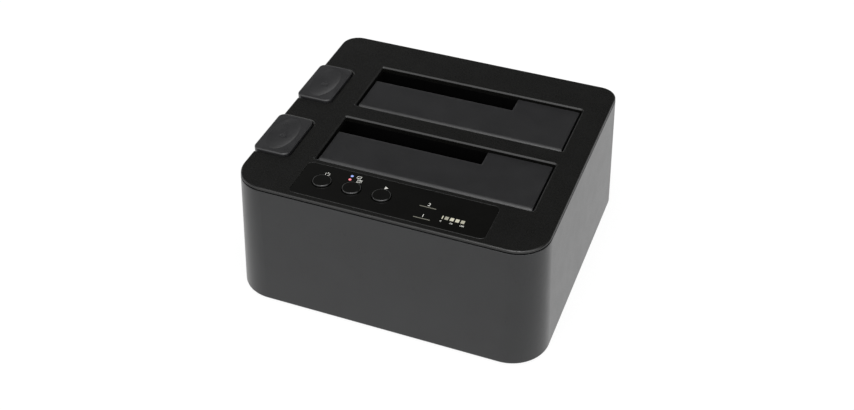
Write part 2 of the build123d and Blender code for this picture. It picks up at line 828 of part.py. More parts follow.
for side, rear in bays.items():
    front = rear - bay_width
    hinge_y = front + hinge_y_in
    socket_y = rear - socket_from_bay_rear
    lift_y = rear - lever_from_bay_rear
    button_front = button_fronts[side]
    button_y = button_front + button_length / 2
    hub_front = button_y - lever_arm_width / 2
    hub_rear = lift_y + lever_lift_width / 2
    ear_ys = [
        (hub_front - axle_ear_side_gap - axle_ear_thickness, hub_front - axle_ear_side_gap),
        (hub_rear + axle_ear_side_gap, hub_rear + axle_ear_side_gap + axle_ear_thickness),
    ]

    # the well: an open box that hangs from the cover and guides one drive
    with BuildPart() as well:
        block((well_left, front - well_wall, well_under_z), (well_right, rear + well_wall, cover_under_z))
        block(
            (bay_left, front, well_floor_z),
            (bay_right, rear, cover_under_z + cut_overrun),
            mode=Mode.SUBTRACT,
        )
        # slot in the floor for the socket
        block(
            (socket_left - socket_slot_gap, socket_y - socket_width / 2 - socket_slot_gap,
             well_under_z - cut_overrun),
            (socket_left + socket_length + socket_slot_gap, socket_y + socket_width / 2 + socket_slot_gap,
             well_floor_z + cut_overrun),
            mode=Mode.SUBTRACT,
        )
        # slot in the floor for the lever's finger
        block(
            (lever_pivot_x + lever_slot_left, lift_y - lever_lift_width / 2 - lever_slot_side_gap,
             well_under_z - cut_overrun),
            (finger_right + lever_slot_right, lift_y + lever_lift_width / 2 + lever_slot_side_gap,
             well_floor_z + cut_overrun),
            mode=Mode.SUBTRACT,
        )
        # slots in the rear wall for the door's stops
        for x in lug_xs:
            half = stop_lug_width / 2 + stop_slot_side_gap
            block(
                (x - half, rear - cut_overrun, cover_under_z - stop_slot_depth),
                (x + half, rear + well_wall + cut_overrun, cover_under_z + cut_overrun),
                mode=Mode.SUBTRACT,
            )
        # block for the fixed leg of the door spring
        leg_top_z = hinge_z - fixed_leg_length + leg_block_length
        block(
            (spring_right - leg_block_width / 2, front, leg_top_z - leg_block_length),
            (spring_right + leg_block_width / 2, front + leg_block_y, leg_top_z),
        )
        # ears that are screwed to the cover
        for x, inner in zip(ear_xs, (well_left, well_right)):
            for way in (-1, 1):
                y = (front + rear) / 2 + way * ear_spread
                post(x, y, ear_top_z - ear_thickness, ear_top_z, ear_radius)
                block(
                    (min(x, inner), y - ear_radius, ear_top_z - ear_thickness),
                    (max(x, inner), y + ear_radius, ear_top_z),
                )
                post(x, y, ear_top_z - ear_thickness, ear_top_z, small_screw_radius + screw_fit,
                     mode=Mode.SUBTRACT)
        # guide for the plunger
        post(plunger_x, button_y, plunger_guide_z, guide_top_z, plunger_guide_radius)
        block(
            (plunger_x, button_y - guide_arm_width / 2, plunger_guide_z),
            (well_left, button_y + guide_arm_width / 2, guide_top_z),
        )
        post(plunger_x, button_y, plunger_guide_z - cut_overrun, guide_top_z + cut_overrun,
             plunger_radius + plunger_fit, mode=Mode.SUBTRACT)
        # bracket with two ears for the lever's axle
        block(
            (lever_pivot_x - lever_bracket_reach, ear_ys[0][0], well_under_z),
            (well_left, ear_ys[1][1], well_floor_z),
        )
        for low_y, high_y in ear_ys:
            block(
                (lever_pivot_x - lever_hub_radius, low_y, lever_pivot_z),
                (lever_pivot_x + lever_hub_radius, high_y, well_under_z),
            )
            bar_along_y(low_y, high_y, lever_pivot_x, lever_pivot_z, lever_hub_radius)
        bar_along_y(
            ear_ys[0][0] - cut_overrun, ear_ys[1][1] + cut_overrun, lever_pivot_x, lever_pivot_z,
            axle_radius, mode=Mode.SUBTRACT,
        )
        # bore for the door's hinge pin
        bar_along_x(
            well_left - cut_overrun, well_right + cut_overrun, hinge_y, hinge_z, hinge_pin_radius,
            mode=Mode.SUBTRACT,
        )
    save(well.part, f"{side}_drive_well")

    # hinge pin of the door
    with BuildPart() as pin:
        bar_along_x(well_left - pin_stand_out, well_right + pin_stand_out, hinge_y, hinge_z, hinge_pin_radius)
    save(pin.part, f"{side}_door_pin")

    # the door: a flap that leaves the narrow slot open, with a rolled front edge
    with BuildPart() as door:
        with BuildSketch(Plane.XY.offset(door_under_z)):
            with BuildLine():
                Polyline(
                    (door_left, hinge_y),
                    (door_right, hinge_y),
                    (door_right, rear - door_rear_gap),
                    (slot_right, rear - door_rear_gap),
                    (slot_right, rear - slot_width),
                    (door_left, rear - slot_width),
                    close=True,
                )
            make_face()
        extrude(amount=door_thickness)
        rear_edges = door.edges().group_by(Axis.Z)[-1].filter_by_position(
            Axis.Y, hinge_y + barrel_radius, rear
        )
        fillet(rear_edges, door_edge_round)
        bar_along_x(door_left, door_right, hinge_y, hinge_z, barrel_radius)
        # pocket for the spring, open below
        bar_along_x(pocket_left, pocket_right, hinge_y, hinge_z, spring_pocket_radius, mode=Mode.SUBTRACT)
        block(
            (pocket_left, hinge_y - barrel_radius - cut_overrun, hinge_z - barrel_radius - cut_overrun),
            (pocket_right, hinge_y + barrel_radius + cut_overrun, hinge_z),
            mode=Mode.SUBTRACT,
        )
        # groove under the flap for the spring's moving leg
        block(
            (spring_left - door_spring_wire - leg_groove_gap, hinge_y, door_under_z - cut_overrun),
            (spring_left + door_spring_wire + leg_groove_gap, hinge_y + door_leg_length + leg_groove_gap,
             hinge_z + door_spring_radius + door_spring_wire),
            mode=Mode.SUBTRACT,
        )
        # stops that catch under the cover's rear edge
        for x in lug_xs:
            block(
                (x - stop_lug_width / 2, rear - door_rear_gap - stop_lug_width, cover_under_z - stop_lug_gap
                 - stop_lug_height),
                (x + stop_lug_width / 2, rear + stop_lug_reach, cover_under_z - stop_lug_gap),
            )
            block(
                (x - stop_lug_width / 2, rear - door_rear_gap - stop_lug_width,
                 cover_under_z - stop_lug_gap - stop_lug_height),
                (x + stop_lug_width / 2, rear - door_rear_gap, door_under_z),
            )
        bar_along_x(
            door_left - cut_overrun, door_right + cut_overrun, hinge_y, hinge_z,
            hinge_pin_radius + hinge_fit, mode=Mode.SUBTRACT,
        )
    save(door.part, f"{side}_bay_door")

    # torsion spring of the door: close turns round the pin, a fixed leg down the well's
    # front wall and a moving leg in the groove under the flap
    with BuildPart() as door_spring:
        bar_along_x(spring_left - door_spring_wire, spring_right + door_spring_wire, hinge_y, hinge_z,
                    door_spring_radius + door_spring_wire)
        post(spring_right, hinge_y - door_spring_radius, hinge_z - fixed_leg_length, hinge_z,
             door_spring_wire)
        bar_along_y(hinge_y, hinge_y + door_leg_length, spring_left, hinge_z + door_spring_radius,
                    door_spring_wire)
        bar_along_x(spring_left - cut_overrun, spring_right + cut_overrun, hinge_y, hinge_z,
                    door_spring_radius - door_spring_wire, mode=Mode.SUBTRACT)
    save(door_spring.part, f"{side}_door_spring")

    # eject button: a cap over the body's edge with a long round plunger under it
    with BuildPart() as button:
        with BuildSketch(Plane.XY.offset(button_top_z - button_skirt)):
            with Locations((button_middle_x, button_y)):
                RectangleRounded(button_right - button_left, button_length, button_corner)
        extrude(amount=button_skirt)
        fillet(button.edges().group_by(Axis.Z)[-1], button_edge_round)
        block(
            (button_left + button_skirt_wall, button_front + button_skirt_wall, button_under_z - body_height),
            (button_right - button_skirt_wall, button_front + button_length - button_skirt_wall,
             button_under_z),
            mode=Mode.SUBTRACT,
        )
        post(plunger_x, button_y, plunger_tip_z, button_under_z, plunger_radius)
        tip = button.edges().group_by(Axis.Z)[0]
        fillet(tip, plunger_radius - plunger_fit)
        # groove for the clip under the guide, and the skirt that hides the inside
        block(
            (plunger_x - plunger_radius - clip_gap, button_y - plunger_radius - clip_gap, clip_z),
            (plunger_x + plunger_radius + clip_gap, button_y + plunger_radius + clip_gap,
             clip_z + clip_thickness),
            mode=Mode.SUBTRACT,
        )
        post(plunger_x, button_y, clip_z, clip_z + clip_thickness, plunger_radius - clip_groove)
        block(
            (dust_skirt_x, button_front + button_skirt_wall, button_top_z - dust_skirt_depth),
            (dust_skirt_x + dust_skirt_thickness, button_front + button_length - button_skirt_wall,
             button_under_z),
        )
        # shallow oval dish for the finger, a short arc turned about a high axis along X
        dish_z = button_top_z - finger_dish_depth
        cross_radius = dish_radius(button_width - 2 * finger_dish_side_inset)
        long_radius = dish_radius(button_length - 2 * finger_dish_end_inset)
        with BuildSketch(Plane.XZ.offset(-button_y)) as dish_section:
            with Locations((button_middle_x, dish_z + cross_radius)):
                Circle(cross_radius)
            with Locations((button_middle_x, dish_z)):
                Rectangle(button_width, 2 * button_crown, mode=Mode.INTERSECT)
        dish_axis = Axis((button_middle_x, button_y, dish_z + long_radius), (1, 0, 0))
        revolve(dish_section.sketch, axis=dish_axis, mode=Mode.SUBTRACT)
    save(button.part, f"{side}_eject_button")

    # clip that holds the plunger in its guide
    with BuildPart() as clip:
        with BuildSketch(Plane.XY.offset(clip_z)):
            with Locations((plunger_x, button_y)):
                Circle(clip_radius)
                Circle(plunger_radius - clip_groove, mode=Mode.SUBTRACT)
                Rectangle(clip_radius * 2, clip_opening, align=(Align.MIN, Align.CENTER), mode=Mode.SUBTRACT)
        extrude(amount=clip_thickness)
    save(clip.part, f"{side}_eject_clip")

    # compression spring between the guide and the cap
    coil_plane = Plane((plunger_x, button_y, guide_top_z + eject_spring_wire))
    room = button_under_z - guide_top_z - 2 * eject_spring_wire
    coil = spring_coil(
        eject_spring_radius, eject_spring_wire, room / eject_spring_turns, eject_spring_turns, coil_plane
    )
    save(coil, f"{side}_eject_spring")

    # lever: a tube on its axle with one arm under the plunger and one under the drive
    with BuildPart() as lever:
        bar_along_y(hub_front, hub_rear, lever_pivot_x, lever_pivot_z, lever_hub_radius)
        lever_under_z = lever_pivot_z - lever_thickness / 2
        block(
            (lever_pivot_x - lever_outer_reach, hub_front, lever_under_z),
            (lever_pivot_x, hub_front + lever_arm_width, lever_top_z),
        )
        block(
            (lever_pivot_x, hub_rear - lever_lift_width, lever_under_z),
            (finger_right, hub_rear, lever_top_z),
        )
        block(
            (finger_left, hub_rear - lever_lift_width, lever_top_z),
            (finger_right, hub_rear, lever_finger_top_z),
        )
        finger_top = lever.edges().group_by(Axis.Z)[-1].filter_by(Axis.Y)
        fillet(finger_top, lever_finger_width / 3)
        bar_along_y(
            hub_front - cut_overrun, hub_rear + cut_overrun, lever_pivot_x, lever_pivot_z,
            axle_radius + axle_fit, mode=Mode.SUBTRACT,
        )
    save(lever.part, f"{side}_eject_lever")

    with BuildPart() as axle:
        bar_along_y(
            ear_ys[0][0] - axle_stand_out, ear_ys[1][1] + axle_stand_out, lever_pivot_x, lever_pivot_z,
            axle_radius,
        )
    save(axle.part, f"{side}_lever_axle")

    # socket that the drive plugs onto: two L-shaped mouths, one for data and one for power
    mouths = {
        signal_contacts: (socket_left + socket_mouth_inset, signal_mouth_length),
        power_contacts: (
            socket_left + socket_length - socket_mouth_inset - power_mouth_length,
            power_mouth_length,
        ),
    }
    mouth_z = socket_top_z - socket_mouth_depth
    mouth_rear = socket_y + socket_mouth_width / 2
    with BuildPart() as socket:
        block(
            (socket_left, socket_y - socket_width / 2, board_top_z),
            (socket_left + socket_length, socket_y + socket_width / 2, socket_top_z),
        )
        chamfer(socket.edges().group_by(Axis.Z)[-1], socket_slot_gap)
        for start, length in mouths.values():
            block(
                (start, mouth_rear - socket_mouth_width, mouth_z),
                (start + length, mouth_rear, socket_top_z),
                mode=Mode.SUBTRACT,
            )
            block(
                (start, mouth_rear, mouth_z),
                (start + socket_key_width, mouth_rear + socket_key_length, socket_top_z),
                mode=Mode.SUBTRACT,
            )
    save(socket.part, f"{side}_drive_socket")

    with BuildPart() as contacts:
        for count, (start, length) in mouths.items():
            first = start + length / 2 - (count - 1) * contact_pitch / 2
            for number in range(count):
                x = first + number * contact_pitch
                block(
                    (x - contact_width / 2, mouth_rear - socket_mouth_width, mouth_z),
                    (x + contact_width / 2, mouth_rear - socket_mouth_width + contact_thickness,
                     socket_top_z - contact_below_mouth),
                )
    save(contacts.part, f"{side}_socket_contacts")


# Main board and what stands on it
with BuildPart() as main_board:
    block((board_left, board_front, board_z), (board_right, board_rear, board_top_z))
    for x, y in board_screw_spots:
        post(x, y, board_z, board_top_z, board_hole_radius, mode=Mode.SUBTRACT)
save(main_board.part, "main_board")


def chip(x, y, length, width, height):
    """A flat chip on the main board."""
    with BuildPart() as made:
        block(
            (x - length / 2, y - width / 2, board_top_z),
            (x + length / 2, y + width / 2, board_top_z + height),
        )
        chamfer(made.edges().group_by(Axis.Z)[-1], height / 6)
    return made.part


chip_x = board_left + chip_share * board_length
chip_y = board_front + chip_from_front
save(chip(chip_x, chip_y, chip_side, chip_side, chip_height), "bridge_chip")
save(chip(chip_x + chip_side, chip_y + chip_side, flash_length, flash_width, flash_height), "flash_chip")
save(chip(chip_x - chip_side, chip_y, crystal_width, crystal_length, crystal_height), "crystal")

cans = []
can_x = board_left + can_share * board_length
can_y = board_front + can_from_front
for number in range(can_count):
    with BuildPart() as can:
        post(can_x + number * can_pitch, can_y, board_top_z, board_top_z + can_height, can_radius)
        fillet(can.edges().group_by(Axis.Z)[-1], can_round)
    cans.append(can.part)
save(Compound(children=cans), "board_capacitors")

inductors = []
coil_x = board_left + coil_share * board_length
for number in range(2):
    with BuildPart() as inductor:
        y = coil_y - number * coil_pitch
        half = coil_side / 2
        block((coil_x - half, y - half, board_top_z), (coil_x + half, y + half, board_top_z + coil_height))
        fillet(inductor.edges().filter_by(Axis.Z), coil_round)
    inductors.append(inductor.part)
save(Compound(children=inductors), "power_inductors")


# Ports in the rear wall
port_face = board_rear + port_overhang


def port_shell(x, width, height, length, shell):
    """A port's rectangular shell on the board's rear edge, open to the rear."""
    block(
        (x - width / 2, port_face - length, board_top_z),
        (x + width / 2, port_face, board_top_z + height),
    )
    block(
        (x - width / 2 + shell, port_face - length + port_back, board_top_z + shell),
        (x + width / 2 - shell, port_face, board_top_z + height - shell),
        mode=Mode.SUBTRACT,
    )


def port_tongue(x, width, height, length, middle_z):
    """The tongue inside a port, standing on the port's back wall."""
    block(
        (x - width / 2, port_face - length + port_back, middle_z - height / 2),
        (x + width / 2, port_face - port_overhang / 2, middle_z + height / 2),
    )


with BuildPart() as usb_port:
    port_shell(usb_x, usb_width, usb_height, usb_length, usb_shell)
save(usb_port.part, "usb_port")

with BuildPart() as usb_tongue:
    port_tongue(usb_x, usb_tongue_width, usb_tongue_height, usb_length, board_top_z + usb_height / 2)
save(usb_tongue.part, "usb_port_tongue")

with BuildPart() as esata_port:
    port_shell(esata_x, esata_width, esata_height, esata_length, esata_shell)
save(esata_port.part, "esata_port")

with BuildPart() as esata_tongue:
    esata_middle_z = board_top_z + esata_height / 2
    port_tongue(esata_x, esata_tongue_width, esata_tongue_height, esata_length, esata_middle_z)
save(esata_tongue.part, "esata_port_tongue")

inlet_z = board_top_z + inlet_height / 2
with BuildPart() as dc_inlet:
    block(
        (inlet_x - inlet_width / 2, port_face - inlet_length, board_top_z),
        (inlet_x + inlet_width / 2, port_face, board_top_z + inlet_height),
    )
    bar_along_y(
        port_face - inlet_bore_depth, port_face, inlet_x, inlet_z, inlet_bore_radius, mode=Mode.SUBTRACT
    )
save(dc_inlet.part, "dc_inlet")

with BuildPart() as dc_inlet_pin:
    bar_along_y(
        port_face - inlet_bore_depth, port_face - inlet_pin_set_back, inlet_x, inlet_z, inlet_pin_radius
    )
save(dc_inlet_pin.part, "dc_inlet_pin")


# Ribbon cable that joins the control board to the main board, with its two headers
header_tops = {
    "lower": (board_top_z, board_top_z + header_height),
    "upper": (control_z - header_height, control_z),
}
headers = []
for low_z, high_z in header_tops.values():
    with BuildPart() as header:
        block(
            (ribbon_x - header_length / 2, ribbon_y - header_width / 2, low_z),
            (ribbon_x + header_length / 2, ribbon_y + header_width / 2, high_z),
        )
        chamfer(header.edges().filter_by(Axis.Z), header_width / 8)
    headers.append(header.part)
save(Compound(children=headers), "ribbon_headers")

ribbon_bottom = header_tops["lower"][1]
ribbon_top = header_tops["upper"][0]
with BuildPart() as ribbon_cable:
    with BuildLine(Plane.YZ.offset(ribbon_x)) as ribbon_line:
        FilletPolyline(
            (ribbon_y, ribbon_bottom),
            (ribbon_y, ribbon_bottom + ribbon_straight),
            (ribbon_y - ribbon_bow, ribbon_bottom + 2 * ribbon_straight),
            (ribbon_y - ribbon_bow, ribbon_top - 2 * ribbon_straight),
            (ribbon_y, ribbon_top - ribbon_straight),
            (ribbon_y, ribbon_top),
            radius=ribbon_bend,
        )
    with BuildSketch(Plane.XY.offset(ribbon_bottom)):
        with Locations((ribbon_x, ribbon_y)):
            Rectangle(ribbon_width, ribbon_thickness)
    sweep(path=ribbon_line.line)
save(ribbon_cable.part, "ribbon_cable")


# Screws
m3_screw = screw(m3_radius, m3_length, m3_head_radius, m3_head_height)
base_seats = [(x, y, base_z + m3_head_recess) for x, y in base_screw_spots]
save_screws("base_screws", m3_screw, base_seats)

small_screw = screw(small_screw_radius, small_screw_length, small_head_radius, small_head_height)
well_seats = [
    (x, rear - bay_width / 2 + way * ear_spread, ear_top_z - ear_thickness)
    for rear in bays.values()
    for x in ear_xs
    for way in (-1, 1)
]
save_screws("well_screws", small_screw, well_seats)

short_screw = screw(small_screw_radius, board_screw_length, small_head_radius, small_head_height)
control_seats = [(x, y, control_z) for x, y in control_screw_spots]
save_screws("control_board_screws", short_screw, control_seats)

board_screw = Rot(180, 0, 0) * short_screw
board_seats = [(x, y, board_top_z) for x, y in board_screw_spots]
save_screws("main_board_screws", board_screw, board_seats)
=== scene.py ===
import json
import math

import bpy
from mathutils import Matrix, Vector


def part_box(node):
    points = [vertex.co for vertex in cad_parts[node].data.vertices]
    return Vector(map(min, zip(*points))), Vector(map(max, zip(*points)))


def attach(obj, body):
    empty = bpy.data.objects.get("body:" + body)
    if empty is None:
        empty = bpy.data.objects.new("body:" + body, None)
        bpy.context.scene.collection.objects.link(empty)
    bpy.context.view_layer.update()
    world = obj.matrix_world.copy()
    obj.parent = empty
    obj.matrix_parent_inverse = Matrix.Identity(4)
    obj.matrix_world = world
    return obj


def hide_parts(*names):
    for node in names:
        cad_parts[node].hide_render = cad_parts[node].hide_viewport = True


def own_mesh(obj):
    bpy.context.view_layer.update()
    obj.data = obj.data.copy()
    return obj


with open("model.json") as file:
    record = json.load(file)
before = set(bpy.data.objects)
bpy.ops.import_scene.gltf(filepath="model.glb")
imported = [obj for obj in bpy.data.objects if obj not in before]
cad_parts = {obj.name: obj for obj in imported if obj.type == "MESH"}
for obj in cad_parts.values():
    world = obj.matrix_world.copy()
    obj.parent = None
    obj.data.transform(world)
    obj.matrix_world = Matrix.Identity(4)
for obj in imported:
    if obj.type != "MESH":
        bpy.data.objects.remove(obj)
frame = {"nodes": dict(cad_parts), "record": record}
nodes = frame["nodes"]
scene = bpy.context.scene
MM = 0.001
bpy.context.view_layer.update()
print("pieces from the frame:", len(nodes))


# %% [markdown]
# ## Small tools
# Colours are given as hex values, which hold display values, so they are turned to
# linear light before a shader gets them. One function adds a node with its settings and
# links, so that each material reads as a list of what it is made of.
def linear(hex_colour):
    """Turns a hex colour as seen on a display into linear red, green, blue and alpha."""
    parts = [int(hex_colour[i : i + 2], 16) / 255 for i in (0, 2, 4)]
    return [c / 12.92 if c <= 0.04045 else ((c + 0.055) / 1.055) ** 2.4 for c in parts] + [1.0]


def add(tree, kind, sockets=None, **settings):
    """Adds a node, sets its options, and fills or links its sockets."""
    made = tree.nodes.new("ShaderNode" + kind)
    for name, value in settings.items():
        setattr(made, name, value)
    for name, value in (sockets or {}).items():
        if isinstance(value, bpy.types.NodeSocket):
            tree.links.new(value, made.inputs[name])
        else:
            made.inputs[name].default_value = value
    return made


def new_tree(name):
    """Makes an empty node material."""
    material = bpy.data.materials.new(name)
    material.use_nodes = True
    material.node_tree.nodes.clear()
    return material, material.node_tree


def noise(tree, place, size_mm, detail=2.0, rough=0.5):
    """Cloudy noise whose patches are about size_mm across, as a value near 0.5."""
    settings = {"Vector": place, "Scale": 1000.0 / size_mm, "Detail": detail, "Roughness": rough}
    return add(tree, "TexNoise", settings).outputs["Fac"]


def spread(tree, value, low, high, from_low=0.3, from_high=0.7):
    """Maps a value from one range to another, held at its ends."""
    ends = {"From Min": from_low, "From Max": from_high, "To Min": low, "To Max": high}
    return add(tree, "MapRange", {"Value": value, **ends}).outputs["Result"]


def mix_colour(tree, share, a, b):
    """Blends two colours, each a hex text or a socket."""
    made = tree.nodes.new("ShaderNodeMix")
    made.data_type = "RGBA"
    tree.links.new(share, made.inputs["Factor"])
    for socket, value in ((made.inputs[6], a), (made.inputs[7], b)):
        if isinstance(value, bpy.types.NodeSocket):
            tree.links.new(value, socket)
        else:
            socket.default_value = linear(value)
    return made.outputs[2]


# %% [markdown]
# ## Finishes
# Nearly everything here is moulded, pressed or drawn, so one recipe serves: a base colour
# that drifts a little over centimetres, a fine grain for the tool's spark or drawing marks,
# a duller or shinier film where hands and dust have been, and edges that are slightly rounded
# and painted paler: scuffing, and on the doors a painted highlight band. The Bevel node gives
# the rounding that every real edge has, and its difference from the true normal shows where
# the edges are.
def finish(
    name, colour, other, roughness, grain_mm, grain_deep_mm, specular=0.5, metallic=0.0,
    rough_drift=0.05, edge_mm=0.25, wear_and_sheen_colour=None, wear_and_sheen_share=0.5, stretch=(1, 1, 1), coat=0.0, ior=1.5,
):
    """Makes a solid finish; colours are hex texts, lengths are millimetres."""
    material, tree = new_tree(name)
    place = add(tree, "TexCoord").outputs["Object"]
    stretched = add(tree, "VectorMath", {0: place, 1: stretch}, operation="MULTIPLY").outputs[0]
    clouds = noise(tree, place, 18.0, 3.0)
    grain = noise(tree, stretched, grain_mm, 2.0, 0.6)
    specks = noise(tree, place, 1.1, 4.0, 0.7)
    soft = add(tree, "Bevel", {"Radius": edge_mm * MM}, samples=4).outputs["Normal"]
    true = add(tree, "NewGeometry").outputs["Normal"]
    alike = add(tree, "VectorMath", {0: soft, 1: true}, operation="DOT_PRODUCT").outputs["Value"]
    edge = spread(tree, alike, 1.0, 0.0, 0.8, 0.995)
    broken = add(tree, "Math", {0: edge, 1: spread(tree, specks, 0.25, 1.0)}, operation="MULTIPLY")
    # edges are pulled towards the pale edge colour: scuffing on most finishes, and a painted
    # highlight band where the edge is laid wide, as on the doors
    wear_and_sheen_mask = add(tree, "Math", {0: broken.outputs[0], 1: wear_and_sheen_share}, operation="MULTIPLY").outputs[0]
    tint = mix_colour(tree, spread(tree, clouds, 0.0, 1.0), colour, other)
    mottled = mix_colour(tree, spread(tree, grain, 0.0, 0.35), tint, other)
    final = mix_colour(tree, wear_and_sheen_mask, mottled, wear_and_sheen_colour or other)
    smears = noise(tree, place, 9.0, 5.0, 0.6)
    film = spread(tree, smears, roughness - rough_drift, roughness + rough_drift)
    sparkle = spread(tree, grain, -0.03, 0.03)
    shine = add(tree, "Math", {0: film, 1: sparkle}, operation="ADD").outputs[0]
    relief = {"Height": grain, "Normal": soft, "Strength": 0.6, "Distance": grain_deep_mm * MM}
    bump = add(tree, "Bump", relief)
    sockets = {
        "Base Color": final, "Roughness": shine, "Normal": bump.outputs["Normal"],
        "Metallic": metallic, "Coat Weight": coat,
    }
    if metallic < 0.5:
        sockets["Specular IOR Level"] = specular
        sockets["IOR"] = ior
    surface = add(tree, "BsdfPrincipled", sockets)
    add(tree, "OutputMaterial", {"Surface": surface.outputs[0]})
    return material


# %% [markdown]
# ## Lights behind the panel
# The lights are clear rods and blocks lit from below. Their top faces glow a little unevenly,
# and the bar's segments differ in strength along its length.
def lit(name, glow, dim, strength, along=None):
    """Makes a lit clear plastic; along is a list of (x in mm, strength) for a row of segments."""
    material, tree = new_tree(name)
    place = add(tree, "TexCoord").outputs["Object"]
    uneven = spread(tree, noise(tree, place, 1.3, 2.0), 0.9, 1.08)
    colour = mix_colour(tree, spread(tree, noise(tree, place, 0.8, 3.0), 0.0, 1.0), glow, dim)
    level = uneven
    if along:
        split = add(tree, "SeparateXYZ", {"Vector": place})
        ramp = add(tree, "ValToRGB", {"Fac": spread(tree, split.outputs["X"], 0.0, 1.0,
                                                     along[0][0] * MM, along[-1][0] * MM)})
        ramp.color_ramp.interpolation = "CONSTANT"
        length = along[-1][0] - along[0][0]
        while len(ramp.color_ramp.elements) < len(along):
            ramp.color_ramp.elements.new(0.5)
        for element, (x, value) in zip(ramp.color_ramp.elements, along):
            element.position = (x - along[0][0]) / length
            element.color = [value, value, value, 1.0]
        level = add(tree, "Math", {0: uneven, 1: ramp.outputs["Color"]}, operation="MULTIPLY")
        level = level.outputs[0]
    power = add(tree, "Math", {0: level, 1: strength}, operation="MULTIPLY").outputs[0]
    film = spread(tree, noise(tree, place, 0.5, 2.0), 0.2, 0.35)
    surface = add(tree, "BsdfPrincipled", {
        "Base Color": linear("3a3a38"), "Roughness": film,
        "Emission Color": colour, "Emission Strength": power,
    })
    add(tree, "OutputMaterial", {"Surface": surface.outputs[0]})
    return material


